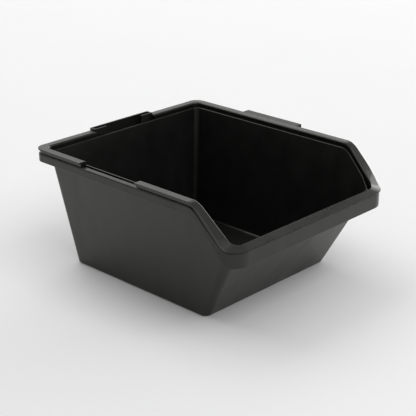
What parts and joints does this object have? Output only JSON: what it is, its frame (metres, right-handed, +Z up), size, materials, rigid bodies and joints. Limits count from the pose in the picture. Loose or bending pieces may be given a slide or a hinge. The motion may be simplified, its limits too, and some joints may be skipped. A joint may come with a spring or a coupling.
{
  "type": "mortar mixing tub",
  "caption": "Tapered rectangular mixing tub with a flat base, high back and sides, a low sloping pouring front, a capped rim, a side coupling strip and a rear hanger.",
  "frame": {"origin": "middle of the flat underside of the base", "axes": "+Z up out of the tub's mouth, -Y towards the low pouring front, +X towards the coupling strip"},
  "size_m": [0.415, 0.4618, 0.2195],
  "materials": {
    "shell_plastic": "fine moulded texture, satin",
    "cap_plastic": "smoother moulded satin",
    "fitting_plastic": "fine moulded texture, satin"
  },
  "bodies": {
    "root": {"tub_shell": "shell_plastic", "rim_cap_long": "cap_plastic", "rim_cap_short": "cap_plastic", "coupling_strip": "fitting_plastic", "rear_hanger": "fitting_plastic"}
  },
  "joints": []
}
